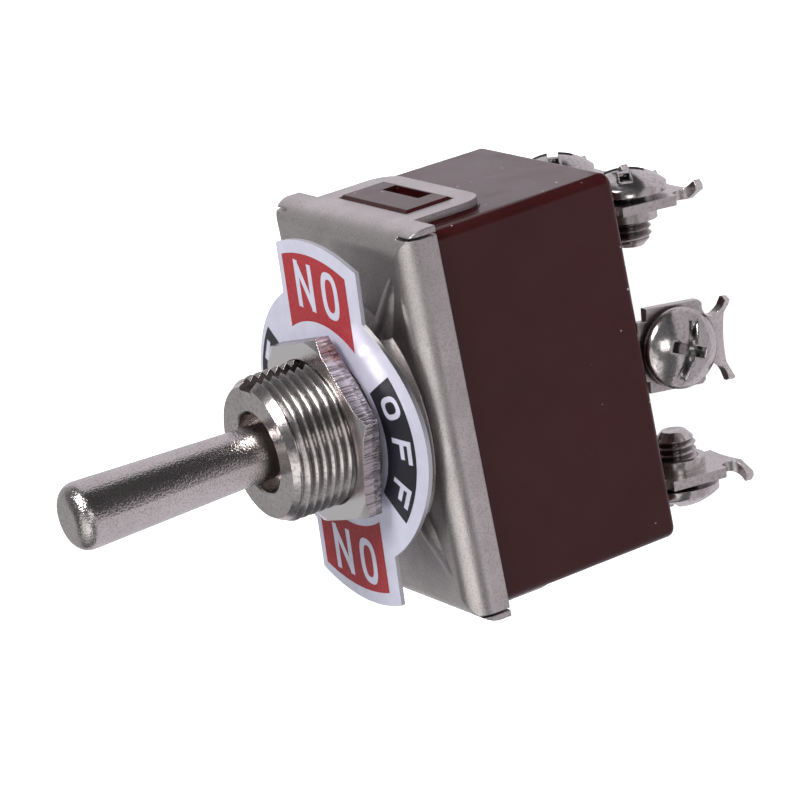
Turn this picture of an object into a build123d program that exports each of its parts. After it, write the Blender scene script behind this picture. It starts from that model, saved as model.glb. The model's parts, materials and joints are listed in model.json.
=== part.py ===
from build123d import *
import math
import os

# A heavy two-pole toggle switch. The lever stands in the middle and springs back from both sides.
# Sizes are in millimetres. The origin is the middle of the raised seat that presses against the
# back of the panel, +Z runs along the lever, and the lever swings along Y.

# Bushing
THREAD_RADIUS = 6.0
BUSHING_HEIGHT = 8.2
BUSHING_CHAMFER_LENGTH = 0.9
BUSHING_CHAMFER_DEPTH = 0.6
KEYWAY_WIDTH = 1.9
KEYWAY_DEPTH = 0.9
MOUTH_RADIUS = 3.35
MOUTH_DEPTH = 0.7
THROAT_RADIUS = 2.85
SPIGOT_RADIUS = 5.2
STAKE_RADIUS = 5.8
STAKE_HEIGHT = 0.6

# Lever
PIVOT_DEPTH = 4.9
BALL_RADIUS = 3.7
BALL_GAP = 0.2
LEVER_REACH = 17.0
LEVER_ROOT_RADIUS = 2.1
LEVER_END_RADIUS = 2.81
LEVER_NOSE_RADIUS = 1.4
STUB_RADIUS = 2.0
THROW_ANGLE = 10.0

# Panel nut
NUT_ACROSS_FLATS = 14.6
NUT_THICKNESS = 1.5
NUT_TURN = 12.2
NUT_CHAMFER_RADIAL = 0.7
NUT_CHAMFER_AXIAL = 0.35
THREAD_GAP = 0.05

# Legend plate, a thin disc with two lobes, turned, tilted and bent a little as it lies
LEGEND_THICKNESS = 0.35
LEGEND_RADIUS = 11.4
LOBE_HALF_WIDTH = 5.73
LOBE_END_RADIUS = 15.28
LEGEND_HOLE_GAP = 0.15
LEGEND_LIFT = 0.43
LEGEND_TURN = 6.4
LEGEND_TILT = 2.5
LEGEND_BEND_START = 5.5
LEGEND_BEND_RADIUS = 20.0
NUT_TO_LEGEND = 0.62

# Sheet-metal cover
SHEET = 0.6
COVER_WIDTH = 21.9
COVER_LENGTH = 32.3
SIDE_BEND = 2.0
END_BEND = 2.3
SEAT_RADIUS = 7.5
BOSS_BASE_RADIUS = 9.8
BOSS_HEIGHT = 2.1
BOSS_ROUND = 0.9
FLANGE_DEPTH = 3.2
SLIT_WIDTH = 0.2
SLIT_HEIGHT = 2.8
TAB_WIDTH = 15.5
TAB_DEPTH = 6.7
TAB_CORNER = 2.2
WINDOW_WIDTH = 10.9
WINDOW_HEIGHT = 4.5
WINDOW_BAR = 1.6
RIB_END_X = 8.5
RIB_END_Y = 12.6
RIB_START_REACH = 7.6
RIB_START_RADIUS = 1.9
RIB_END_RADIUS = 1.0

# Housing
COVER_GAP = 0.1
HOUSING_DEPTH = 18.9
HOUSING_WIDTH_DRAFT = 0.25
HOUSING_LENGTH_DRAFT = 0.1
HOUSING_CORNER = 1.0
HOUSING_BACK_ROUND = 0.6
SIDE_WALL = 1.4
END_WALL = 1.85
FLOOR_THICKNESS = 3.1
CAVITY_CORNER = 1.0
PARTITION_THICKNESS = 1.6
PARTITION_HEIGHT = 5.5
PAD_MARGIN = 0.35
PAD_CORNER = 3.0
PAD_GAP = 0.05
NUB_GAP = 0.1
NUB_RISE = 0.2
NUB_CHAMFER = 0.25
NUB_NOTCH_WIDTH = 5.8
NUB_NOTCH_HEIGHT = 1.3
NUB_NOTCH_OFFSET = 0.5

# Insulating sheet under the cover
INSULATOR_THICKNESS = 0.5
INSULATOR_EDGE_GAP = 0.05
SLOT_SIDE_GAP = 0.5
SLOT_SWING_GAP = 0.8

# Carrier on the lower end of the lever, with its two plungers and their springs
CARRIER_TOP_GAP = 1.0
CARRIER_WIDTH = 15.2
CARRIER_THICKNESS = 5.2
CARRIER_DEPTH = 6.0
CARRIER_ROUND = 0.5
HUB_RADIUS = 3.0
HUB_HEIGHT = 1.7
STUB_DEPTH = 3.3
STUB_GAP = 0.05
POLE_SPACING = 9.2
PLUNGER_RADIUS = 1.7
PLUNGER_GAP = 0.1
PLUNGER_LENGTH = 5.1
PLUNGER_TIP_RADIUS = 1.5
SPRING_ROOF = 0.8
SPRING_LENGTH = 3.4
SPRING_RADIUS = 1.55
SPRING_WIRE = 0.5
SPRING_TURNS = 4

# Rocking contacts
RIDE_GAP = 0.3
ROCKER_WIDTH = 5.0
ROCKER_HEIGHT = 1.6
ROCKER_THICKNESS = 1.0
ROCKER_REACH = 8.3
ROCKER_V_REACH = 3.6
ROCKER_V_SLOPE = 0.2
ROCKER_ARM_LIFT = 0.1
ROCKER_ARM_START = 5.0
FULCRUM_HALF_WIDTH = 1.4
FULCRUM_GAP = 0.1
ROCKER_RATIO = 0.7
CONTACT_RADIUS = 1.5
MOVING_CONTACT_THICKNESS = 0.8
CONTACT_GAP = 0.12
CONTACT_CHAMFER = 0.2

# Terminals and their screws
TERMINAL_SHEET = 0.8
MIDDLE_FACE_INSET = 1.45
END_FACE_INSET = 3.45
END_TERMINAL_INSET = 4.85
NECK_WIDTH = 4.9
NECK_LENGTH = 1.1
NECK_STRAIGHT = 0.4
BLADE_WIDTH = 6.9
BLADE_LENGTH = 7.7
BLADE_CORNER = 0.4
WAIST_WIDTH = 4.0
NOTCH_RADIUS = 0.85
HORN_HEIGHT = 0.7
HORN_BEND = 35.0
TAIL_HOLLOW = 0.5
SCREW_DROP = 3.7
SCREW_RADIUS = 1.75
SCREW_BORE_GAP = 0.05
SCREW_BEHIND = 4.0
SCREW_POINT = 0.5
COLLAR_RADIUS = 2.35
COLLAR_HEIGHT = 1.0
HEAD_RADIUS = 3.3
HEAD_RIM = 0.6
HEAD_HEIGHT = 1.9
HEAD_GAP = 0.45
DRIVE_SLOT_WIDTH = 0.9
DRIVE_SLOT_DEPTH = 0.8
DRIVE_CROSS_REACH = 1.6
DRIVE_CROSS_DEPTH = 1.3
TOP_LEAN = 5.0
MIDDLE_LEAN = 8.0
BOTTOM_LEAN = 5.0
TOP_DRIVE_TURN = -30.0
MIDDLE_DRIVE_TURN = -18.0
BOTTOM_DRIVE_TURN = 50.0

# Heights that follow from the sizes above
PIVOT_Z = BUSHING_HEIGHT - PIVOT_DEPTH
BALL_SEAT_RADIUS = BALL_RADIUS + BALL_GAP
THROAT_Z = PIVOT_Z + math.sqrt(BALL_SEAT_RADIUS**2 - THROAT_RADIUS**2)
COVER_TOP = -BOSS_HEIGHT
COVER_UNDERSIDE = COVER_TOP - SHEET
FLANGE_END = COVER_TOP - FLANGE_DEPTH
TAB_END = FLANGE_END - TAB_DEPTH
WINDOW_BOTTOM = TAB_END + WINDOW_BAR
WINDOW_TOP = WINDOW_BOTTOM + WINDOW_HEIGHT
HOUSING_TOP = COVER_UNDERSIDE - INSULATOR_THICKNESS
HOUSING_BACK = HOUSING_TOP - HOUSING_DEPTH
FLOOR_TOP = HOUSING_BACK + FLOOR_THICKNESS
FOOT_TOP = FLOOR_TOP + TERMINAL_SHEET
HOUSING_HALF_WIDTH = COVER_WIDTH / 2 - SHEET - COVER_GAP
HOUSING_HALF_LENGTH = COVER_LENGTH / 2 - SHEET - COVER_GAP
CARRIER_TOP = HOUSING_TOP - CARRIER_TOP_GAP
CARRIER_BOTTOM = CARRIER_TOP - CARRIER_DEPTH
SPRING_TOP = CARRIER_TOP - SPRING_ROOF
PLUNGER_TOP = SPRING_TOP - SPRING_LENGTH
PLUNGER_TIP = PLUNGER_TOP - PLUNGER_LENGTH
ROCKER_HINGE_Z = PLUNGER_TIP - RIDE_GAP - ROCKER_HEIGHT
CONTACT_REACH = ROCKER_REACH - CONTACT_RADIUS
LEGEND_HOLE_RADIUS = THREAD_RADIUS + LEGEND_HOLE_GAP
NUT_BOTTOM = LEGEND_LIFT + LEGEND_THICKNESS + NUT_TO_LEGEND
MIDDLE_FACE_X = HOUSING_HALF_WIDTH - MIDDLE_FACE_INSET
END_FACE_Y = HOUSING_HALF_LENGTH - END_FACE_INSET
END_TERMINAL_X = HOUSING_HALF_WIDTH - END_TERMINAL_INSET
NECK_TURN_Z = HOUSING_BACK - NECK_STRAIGHT
BLADE_TOP = HOUSING_BACK - NECK_LENGTH
BLADE_END = BLADE_TOP - BLADE_LENGTH
NOTCH_Z = BLADE_END + HORN_HEIGHT + NOTCH_RADIUS
SCREW_Z = HOUSING_BACK - SCREW_DROP

SIDES = {"left": -1, "right": 1}
ENDS = {"top": 1, "bottom": -1}
LEANS = {"top": TOP_LEAN, "middle": MIDDLE_LEAN, "bottom": BOTTOM_LEAN}
DRIVE_TURNS = {"top": TOP_DRIVE_TURN, "middle": MIDDLE_DRIVE_TURN, "bottom": BOTTOM_DRIVE_TURN}


def block(x_low, x_high, y_low, y_high, z_low, z_high):
    """Box between the given limits."""
    middle = Pos((x_low + x_high) / 2, (y_low + y_high) / 2, (z_low + z_high) / 2)
    return middle * Box(x_high - x_low, y_high - y_low, z_high - z_low)


def disc(radius, z_low, z_high):
    """Round bar on the Z axis between two heights."""
    return Pos(0, 0, (z_low + z_high) / 2) * Cylinder(radius, z_high - z_low)


def frustum(low_radius, high_radius, z_low, z_high):
    """Cone stump on the Z axis between two heights."""
    return Pos(0, 0, (z_low + z_high) / 2) * Cone(low_radius, high_radius, z_high - z_low)


def crowned_bar(half_span, top, bottom, radius, half_length, plane):
    """Bar with its two upper long edges rounded. Its section lies in the given plane."""
    section = Pos(0, (top + bottom) / 2) * Rectangle(2 * half_span, top - bottom)
    section = fillet(section.vertices().group_by(Axis.Y)[-1], radius)
    return extrude(plane * section, amount=half_length, both=True)


def upright_panel(half_width, top, bottom, corner, half_depth):
    """Panel facing along Y with rounded lower corners, reaching half_depth each way."""
    section = Pos(0, (top + bottom) / 2) * Rectangle(2 * half_width, top - bottom)
    section = fillet(section.vertices().group_by(Axis.Y)[0], corner)
    return extrude(Plane.XZ * section, amount=half_depth, both=True)


def bushing():
    """Threaded bushing, staked into the cover, with the spherical seat of the lever's ball."""
    crown_low = BUSHING_HEIGHT - BUSHING_CHAMFER_LENGTH
    crown_radius = THREAD_RADIUS - BUSHING_CHAMFER_DEPTH
    body = disc(THREAD_RADIUS, 0, crown_low)
    body = body + frustum(THREAD_RADIUS, crown_radius, crown_low, BUSHING_HEIGHT)
    spigot = disc(SPIGOT_RADIUS, -SHEET, 0)
    stake = disc(STAKE_RADIUS, -SHEET - STAKE_HEIGHT, -SHEET)
    mouth_floor = BUSHING_HEIGHT - MOUTH_DEPTH
    mouth = disc(MOUTH_RADIUS, mouth_floor, BUSHING_HEIGHT)
    funnel = frustum(THROAT_RADIUS, MOUTH_RADIUS, THROAT_Z, mouth_floor)
    seat = Pos(0, 0, PIVOT_Z) * Sphere(BALL_SEAT_RADIUS)
    shaft_room = disc(BALL_SEAT_RADIUS, -SHEET - STAKE_HEIGHT, PIVOT_Z)
    keyway = block(
        -KEYWAY_WIDTH / 2, KEYWAY_WIDTH / 2,
        THREAD_RADIUS - KEYWAY_DEPTH, THREAD_RADIUS + 1,
        0, BUSHING_HEIGHT,
    )
    return body + spigot + stake - mouth - funnel - seat - shaft_room - keyway


def toggle_lever():
    """Slightly tapered lever with a rounded nose, a ball inside the bushing and a stub below."""
    lever_end = BUSHING_HEIGHT + LEVER_REACH
    shaft = frustum(LEVER_ROOT_RADIUS, LEVER_END_RADIUS, PIVOT_Z, lever_end)
    shaft = fillet(shaft.edges().group_by(Axis.Z)[-1], LEVER_NOSE_RADIUS)
    ball = Pos(0, 0, PIVOT_Z) * Sphere(BALL_RADIUS)
    stub = disc(STUB_RADIUS, CARRIER_TOP - STUB_DEPTH, PIVOT_Z)
    return shaft + ball + stub


def panel_nut():
    """Thin hexagon nut with its front corners chamfered."""
    corner_radius = NUT_ACROSS_FLATS / math.sqrt(3)
    top = NUT_BOTTOM + NUT_THICKNESS
    hexagon = Rot(0, 0, NUT_TURN) * RegularPolygon(corner_radius, 6)
    prism = Pos(0, 0, NUT_BOTTOM) * extrude(hexagon, amount=NUT_THICKNESS)
    shoulder = disc(corner_radius, NUT_BOTTOM, top - NUT_CHAMFER_AXIAL)
    crown = frustum(corner_radius, corner_radius - NUT_CHAMFER_RADIAL, top - NUT_CHAMFER_AXIAL, top)
    bore = disc(THREAD_RADIUS + THREAD_GAP, NUT_BOTTOM, top)
    return (prism & (shoulder + crown)) - bore


def legend_sheet():
    """Tall-sided strip that gives the legend plate its tilt and its bend on the right."""
    reach = LOBE_END_RADIUS + 1
    tilt = math.radians(LEGEND_TILT)
    along = Vector(math.cos(tilt), -math.sin(tilt))
    up = Vector(math.sin(tilt), math.cos(tilt)) * LEGEND_THICKNESS
    centre = Vector(0, LEGEND_LIFT)
    left = centre - along * reach
    bend = centre + along * LEGEND_BEND_START
    sweep_angle = math.degrees((reach - LEGEND_BEND_START) / LEGEND_BEND_RADIUS)
    lower = JernArc(bend, along, LEGEND_BEND_RADIUS, -sweep_angle)
    upper = JernArc(bend + up, along, LEGEND_BEND_RADIUS + LEGEND_THICKNESS, -sweep_angle)
    edges = [
        Line(left, bend),
        lower,
        Line(lower @ 1, upper @ 1),
        upper,
        Line(bend + up, left + up),
        Line(left + up, left),
    ]
    section = make_face(edges)
    return extrude(Plane.XZ * section, amount=reach, both=True)


def legend_plate():
    """Disc with two lobes, cut from a thin sheet that lies a little tilted and bent."""
    lobes = Rectangle(2 * LOBE_HALF_WIDTH, 2 * LOBE_END_RADIUS) & Circle(LOBE_END_RADIUS)
    outline = Circle(LEGEND_RADIUS) + lobes - Circle(LEGEND_HOLE_RADIUS)
    height = LOBE_END_RADIUS
    prism = Pos(0, 0, -height / 2) * extrude(outline, amount=height)
    return (Rot(0, 0, -LEGEND_TURN) * prism) & legend_sheet()


def raised_middle(inset):
    """Round raised seat of the cover, inside its outer (inset 0) or inner surface."""
    slope = (BOSS_BASE_RADIUS - SEAT_RADIUS) / BOSS_HEIGHT
    narrowing = inset * (math.hypot(1, slope) - slope)
    low = COVER_TOP - inset
    return frustum(BOSS_BASE_RADIUS - narrowing, SEAT_RADIUS - narrowing, low, -inset)


def corner_rib(side, end, inset):
    """Pressed rib from the raised middle towards one corner, a cone that sinks into the sheet."""
    end_reach = math.hypot(RIB_END_X, RIB_END_Y)
    cone = Cone(RIB_START_RADIUS - inset, RIB_END_RADIUS - inset, end_reach - RIB_START_REACH)
    lying = Rot(0, 90, 0) * Pos(0, 0, (RIB_START_REACH + end_reach) / 2) * cone
    heading = math.degrees(math.atan2(end * RIB_END_Y, side * RIB_END_X))
    return Pos(0, 0, COVER_TOP - RIB_END_RADIUS) * Rot(0, 0, heading) * lying


def cover_form(inset, bottom):
    """Solid inside the cover's outer (inset 0) or inner surface (inset SHEET)."""
    top = COVER_TOP - inset
    half_width = COVER_WIDTH / 2 - inset
    half_length = COVER_LENGTH / 2 - inset
    form = crowned_bar(half_length, top, bottom, END_BEND - inset, half_width, Plane.YZ)
    form = form & crowned_bar(half_width, top, bottom, SIDE_BEND - inset, half_length, Plane.XZ)
    form = form + raised_middle(inset)
    crown = form.edges().filter_by(GeomType.CIRCLE).sort_by(Axis.Z)[-1]
    form = fillet(crown, BOSS_ROUND - inset / 2)
    for side in SIDES.values():
        for end in ENDS.values():
            form = form + corner_rib(side, end, inset)
    return form


def corner_slit(side, end):
    """Slit between a long flange and an end flange."""
    half_width = COVER_WIDTH / 2
    slit_y = COVER_LENGTH / 2 - SHEET
    slit = block(
        half_width - SIDE_BEND, half_width + 1,
        slit_y - SLIT_WIDTH / 2, slit_y + SLIT_WIDTH / 2,
        FLANGE_END - 1, FLANGE_END + SLIT_HEIGHT,
    )
    if side < 0:
        slit = mirror(slit, about=Plane.YZ)
    if end < 0:
        slit = mirror(slit, about=Plane.XZ)
    return slit


def cover_plate():
    """Pressed cover with four flanges, two windowed tabs and a hole for the bushing."""
    shell = cover_form(0, TAB_END) - cover_form(SHEET, TAB_END - 1)
    flanges = block(-COVER_WIDTH, COVER_WIDTH, -COVER_LENGTH, COVER_LENGTH, FLANGE_END, 1)
    tabs = upright_panel(TAB_WIDTH / 2, FLANGE_END + 1, TAB_END, TAB_CORNER, COVER_LENGTH)
    shell = shell & (flanges + tabs)
    window = block(
        -WINDOW_WIDTH / 2, WINDOW_WIDTH / 2,
        -COVER_LENGTH, COVER_LENGTH,
        WINDOW_BOTTOM, WINDOW_TOP,
    )
    shell = shell - window - disc(SPIGOT_RADIUS, -BOSS_HEIGHT, 1)
    for side in SIDES.values():
        for end in ENDS.values():
            shell = shell - corner_slit(side, end)
    return shell


def insulator_sheet():
    """Fibre sheet between cover and housing, with a slot for the swinging hub."""
    half_width = COVER_WIDTH / 2 - SIDE_BEND - INSULATOR_EDGE_GAP
    half_length = COVER_LENGTH / 2 - END_BEND - INSULATOR_EDGE_GAP
    swing = (PIVOT_Z - HOUSING_TOP) * math.sin(math.radians(THROW_ANGLE))
    slot_half_width = HUB_RADIUS + SLOT_SIDE_GAP
    slot_half_length = HUB_RADIUS + swing + SLOT_SWING_GAP
    sheet = RectangleRounded(2 * half_width, 2 * half_length, CAVITY_CORNER)
    slot = RectangleRounded(2 * slot_half_width, 2 * slot_half_length, CAVITY_CORNER)
    return Pos(0, 0, HOUSING_TOP) * extrude(sheet - slot, amount=INSULATOR_THICKNESS)


def housing_shell():
    """Drafted box with rounded corners, whose rim fits under the cover's bends."""
    rim = RectangleRounded(2 * HOUSING_HALF_WIDTH, 2 * HOUSING_HALF_LENGTH, HOUSING_CORNER)
    back_width = 2 * (HOUSING_HALF_WIDTH - HOUSING_WIDTH_DRAFT)
    back_length = 2 * (HOUSING_HALF_LENGTH - HOUSING_LENGTH_DRAFT)
    back = RectangleRounded(back_width, back_length, HOUSING_CORNER)
    body = loft([(Pos(0, 0, HOUSING_BACK) * back).face(), (Pos(0, 0, HOUSING_TOP) * rim).face()])
    body = fillet(body.faces().sort_by(Axis.Z)[0].edges(), HOUSING_BACK_ROUND)
    room_top = COVER_UNDERSIDE - COVER_GAP
    end_room = crowned_bar(
        HOUSING_HALF_LENGTH, room_top, HOUSING_BACK - 1,
        END_BEND - SHEET - COVER_GAP, COVER_WIDTH, Plane.YZ,
    )
    side_room = crowned_bar(
        HOUSING_HALF_WIDTH, room_top, HOUSING_BACK - 1,
        SIDE_BEND - SHEET - COVER_GAP, COVER_LENGTH, Plane.XZ,
    )
    return body & end_room & side_room


def snap_nubs():
    """Two nubs that fill the tab windows, each with a notch beside the tab's lower bar."""
    pad_face = COVER_LENGTH / 2 - SHEET - PAD_GAP
    nub_face = COVER_LENGTH / 2 + NUB_RISE
    nub = block(
        -WINDOW_WIDTH / 2 + NUB_GAP, WINDOW_WIDTH / 2 - NUB_GAP,
        -nub_face, nub_face,
        WINDOW_BOTTOM + NUB_GAP, WINDOW_TOP - NUB_GAP,
    )
    end_faces = nub.faces().filter_by(Axis.Y)
    nub = chamfer(end_faces.edges(), NUB_CHAMFER)
    notch_low = WINDOW_BOTTOM + NUB_NOTCH_OFFSET
    notch = block(
        -NUB_NOTCH_WIDTH / 2, NUB_NOTCH_WIDTH / 2,
        pad_face, nub_face + 1,
        notch_low, notch_low + NUB_NOTCH_HEIGHT,
    )
    return nub - notch - mirror(notch, about=Plane.XZ)


def tab_pads():
    """Low pads under the two tabs, a little wider and longer than the tabs."""
    pad_face = COVER_LENGTH / 2 - SHEET - PAD_GAP
    top = FLANGE_END + PAD_MARGIN
    return upright_panel(TAB_WIDTH / 2 + PAD_MARGIN, top, TAB_END - PAD_MARGIN, PAD_CORNER, pad_face)


def end_neck(side, end, z_low, z_high):
    """Upright part of an end terminal between two heights."""
    x = side * END_TERMINAL_X
    near = END_FACE_Y - TERMINAL_SHEET
    neck = block(x - NECK_WIDTH / 2, x + NECK_WIDTH / 2, near, END_FACE_Y, z_low, z_high)
    return neck if end > 0 else mirror(neck, about=Plane.XZ)


def middle_neck(side, z_low, z_high):
    """Upright part of a middle terminal between two heights."""
    near = MIDDLE_FACE_X - TERMINAL_SHEET
    neck = block(near, MIDDLE_FACE_X, -NECK_WIDTH / 2, NECK_WIDTH / 2, z_low, z_high)
    return neck if side > 0 else mirror(neck, about=Plane.YZ)


def housing():
    """Moulded box with a partition, six terminal slots, pads and snap nubs."""
    half_width = HOUSING_HALF_WIDTH - SIDE_WALL
    half_length = HOUSING_HALF_LENGTH - END_WALL
    cavity = RectangleRounded(2 * half_width, 2 * half_length, CAVITY_CORNER)
    cavity = Pos(0, 0, FLOOR_TOP) * extrude(cavity, amount=HOUSING_TOP - FLOOR_TOP)
    body = housing_shell() + tab_pads() + snap_nubs() - cavity
    body = body + block(
        -PARTITION_THICKNESS / 2, PARTITION_THICKNESS / 2,
        -half_length, half_length,
        FLOOR_TOP, FLOOR_TOP + PARTITION_HEIGHT,
    )
    for side in SIDES.values():
        body = body - middle_neck(side, HOUSING_BACK, FLOOR_TOP)
        for end in ENDS.values():
            body = body - end_neck(side, end, HOUSING_BACK, FLOOR_TOP)
    return body


def lever_carrier():
    """Moulded carrier pressed on the lever's stub, bored for the two plungers."""
    body = block(
        -CARRIER_WIDTH / 2, CARRIER_WIDTH / 2,
        -CARRIER_THICKNESS / 2, CARRIER_THICKNESS / 2,
        CARRIER_BOTTOM, CARRIER_TOP,
    )
    body = fillet(body.edges().filter_by(Axis.Z), CARRIER_ROUND)
    body = body + disc(HUB_RADIUS, CARRIER_TOP, CARRIER_TOP + HUB_HEIGHT)
    stub_room = disc(STUB_RADIUS + STUB_GAP, CARRIER_TOP - STUB_DEPTH, CARRIER_TOP + HUB_HEIGHT)
    body = body - stub_room
    for side in SIDES.values():
        bore = disc(PLUNGER_RADIUS + PLUNGER_GAP, CARRIER_BOTTOM, SPRING_TOP)
        body = body - Pos(side * POLE_SPACING / 2, 0) * bore
    return body


def plunger(side):
    """Round plunger with a ball tip that rides on the rocking contact."""
    tip_centre = PLUNGER_TIP + PLUNGER_TIP_RADIUS
    body = disc(PLUNGER_RADIUS, tip_centre + PLUNGER_TIP_RADIUS / 2, PLUNGER_TOP)
    taper = frustum(PLUNGER_TIP_RADIUS, PLUNGER_RADIUS, tip_centre, tip_centre + PLUNGER_TIP_RADIUS / 2)
    tip = Pos(0, 0, tip_centre) * Sphere(PLUNGER_TIP_RADIUS)
    return Pos(side * POLE_SPACING / 2, 0) * (body + taper + tip)


def plunger_spring(side):
    """Compression spring between the carrier and one plunger."""
    coil_height = SPRING_LENGTH - SPRING_WIRE
    coil_radius = SPRING_RADIUS - SPRING_WIRE / 2
    coil = Helix(coil_height / SPRING_TURNS, coil_height, coil_radius)
    wire = Plane(origin=coil @ 0, z_dir=coil % 0) * Circle(SPRING_WIRE / 2)
    spring = sweep(wire, path=coil, is_frenet=True)
    return Pos(side * POLE_SPACING / 2, 0, PLUNGER_TOP + SPRING_WIRE / 2) * spring


def rocker_contact(side):
    """Rocking contact bar with a shallow V on top and a grooved fulcrum below."""
    v_top = ROCKER_HEIGHT + ROCKER_V_REACH * ROCKER_V_SLOPE
    arm_top = ROCKER_ARM_LIFT + ROCKER_THICKNESS
    fulcrum_top = ROCKER_HEIGHT + FULCRUM_HALF_WIDTH * ROCKER_V_SLOPE - ROCKER_THICKNESS
    half = [
        (0, ROCKER_HEIGHT),
        (ROCKER_V_REACH, v_top),
        (ROCKER_ARM_START, arm_top),
        (ROCKER_REACH, arm_top),
        (ROCKER_REACH, ROCKER_ARM_LIFT),
        (ROCKER_ARM_START - ROCKER_THICKNESS / 2, ROCKER_ARM_LIFT),
        (ROCKER_V_REACH - ROCKER_THICKNESS / 4, v_top - ROCKER_THICKNESS),
        (FULCRUM_HALF_WIDTH, fulcrum_top),
        (FULCRUM_HALF_WIDTH, 0),
        (0, 0),
    ]
    arm = make_face(Polyline(half, close=True))
    section = arm + mirror(arm, about=Plane.YZ) - Circle(TERMINAL_SHEET / 2 + FULCRUM_GAP)
    bar = extrude(Plane.YZ * section, amount=ROCKER_WIDTH / 2, both=True)
    return Pos(side * POLE_SPACING / 2, 0, ROCKER_HINGE_Z) * bar


def contact_button(side, end, z_low, z_high, worn_end):
    """Round contact rivet whose touching end has a small chamfer."""
    button = disc(CONTACT_RADIUS, z_low, z_high)
    button = chamfer(button.edges().group_by(Axis.Z)[worn_end], CONTACT_CHAMFER)
    return Pos(side * POLE_SPACING / 2, end * CONTACT_REACH) * button


def moving_contact(side, end):
    """Contact rivet under one arm of a rocking contact."""
    top = ROCKER_HINGE_Z + ROCKER_ARM_LIFT
    return contact_button(side, end, top - MOVING_CONTACT_THICKNESS, top, 0)


def fixed_contact(side, end):
    """Contact rivet on the foot of an end terminal, just below the tilted moving contact."""
    swing = math.radians(THROW_ANGLE * ROCKER_RATIO)
    drop = MOVING_CONTACT_THICKNESS - ROCKER_ARM_LIFT
    lowest = ROCKER_REACH * math.sin(swing) + drop * math.cos(swing)
    return contact_button(side, end, FOOT_TOP, ROCKER_HINGE_Z - lowest - CONTACT_GAP, -1)


def blade_outline():
    """Outline of a terminal below the housing: neck, plate, side notches and hollow end."""
    neck_top = NECK_TURN_Z + TERMINAL_SHEET / 4
    neck = Pos(0, (neck_top + BLADE_TOP) / 2) * Rectangle(NECK_WIDTH, neck_top - BLADE_TOP)
    plate = Pos(0, (BLADE_TOP + BLADE_END) / 2) * Rectangle(BLADE_WIDTH, BLADE_LENGTH)
    half_width = BLADE_WIDTH / 2
    hollow_radius = (half_width**2 + TAIL_HOLLOW**2) / (2 * TAIL_HOLLOW)
    hollow = Pos(0, BLADE_END + TAIL_HOLLOW - hollow_radius) * Circle(hollow_radius)
    notch = Circle(NOTCH_RADIUS) + Pos(NOTCH_RADIUS, 0) * Rectangle(2 * NOTCH_RADIUS, 2 * NOTCH_RADIUS)
    corner = Pos(half_width, NOTCH_Z + NOTCH_RADIUS) * Rot(0, 0, 45) * Rectangle(BLADE_CORNER, BLADE_CORNER)
    notch = Pos(WAIST_WIDTH / 2 + NOTCH_RADIUS, NOTCH_Z) * notch + corner
    return neck + plate - hollow - notch - mirror(notch, about=Plane.YZ)


def tail_section():
    """Section across the tail, whose two horns are bent towards the screw head."""
    bend = math.radians(HORN_BEND)
    start = WAIST_WIDTH / 2
    horn = BLADE_WIDTH / 2 - start
    tip = Vector(start + horn * math.cos(bend), -horn * math.sin(bend))
    through = Vector(math.sin(bend), math.cos(bend)) * TERMINAL_SHEET
    half = [
        (0, 0),
        (start, 0),
        tip,
        tip + through,
        (start + TERMINAL_SHEET * math.tan(bend / 2), TERMINAL_SHEET),
        (0, TERMINAL_SHEET),
    ]
    half = make_face(Polyline(half, close=True))
    return half + mirror(half, about=Plane.YZ)


def blade():
    """Terminal blade with its threaded collar. The screw head's side faces -Y."""
    flat = block(-BLADE_WIDTH, BLADE_WIDTH, 0, TERMINAL_SHEET, NOTCH_Z, 0)
    tail = extrude(Pos(0, 0, BLADE_END) * tail_section(), amount=NOTCH_Z - BLADE_END)
    plate = extrude(Plane.XZ * blade_outline(), amount=BLADE_WIDTH, both=True) & (flat + tail)
    collar = Cylinder(COLLAR_RADIUS, COLLAR_HEIGHT)
    collar = Pos(0, TERMINAL_SHEET + COLLAR_HEIGHT / 2, SCREW_Z) * Rot(90, 0, 0) * collar
    bore = Cylinder(SCREW_RADIUS + SCREW_BORE_GAP, 4 * COLLAR_HEIGHT)
    bore = Pos(0, TERMINAL_SHEET, SCREW_Z) * Rot(90, 0, 0) * bore
    return plate + collar - bore


def screw_recess():
    """Drive recess for a flat or a cross blade, sunk from the top of the head."""
    slot_floor = HEAD_HEIGHT - DRIVE_SLOT_DEPTH
    half = DRIVE_SLOT_WIDTH / 2
    slot = block(-HEAD_RADIUS, HEAD_RADIUS, -half, half, slot_floor, HEAD_HEIGHT)
    cross_floor = HEAD_HEIGHT - DRIVE_CROSS_DEPTH
    across = block(-half, half, -DRIVE_CROSS_REACH, DRIVE_CROSS_REACH, cross_floor, HEAD_HEIGHT)
    along = block(-DRIVE_CROSS_REACH, DRIVE_CROSS_REACH, -half, half, cross_floor, HEAD_HEIGHT)
    return slot + across + along


def terminal_screw(drive_turn):
    """Round-headed screw. It points along -Z, with the underside of its head at z = 0."""
    length = HEAD_GAP + SCREW_BEHIND
    rim = disc(HEAD_RADIUS, 0, HEAD_RIM)
    rise = HEAD_HEIGHT - HEAD_RIM
    dome_radius = (HEAD_RADIUS**2 + rise**2) / (2 * rise)
    dome = Pos(0, 0, HEAD_HEIGHT - dome_radius) * Sphere(dome_radius)
    dome = dome & disc(HEAD_RADIUS, HEAD_RIM, HEAD_HEIGHT)
    shank = disc(SCREW_RADIUS, -length, 0)
    shank = chamfer(shank.edges().group_by(Axis.Z)[0], SCREW_POINT)
    return rim + dome + shank - Rot(0, 0, drive_turn) * screw_recess()


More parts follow.
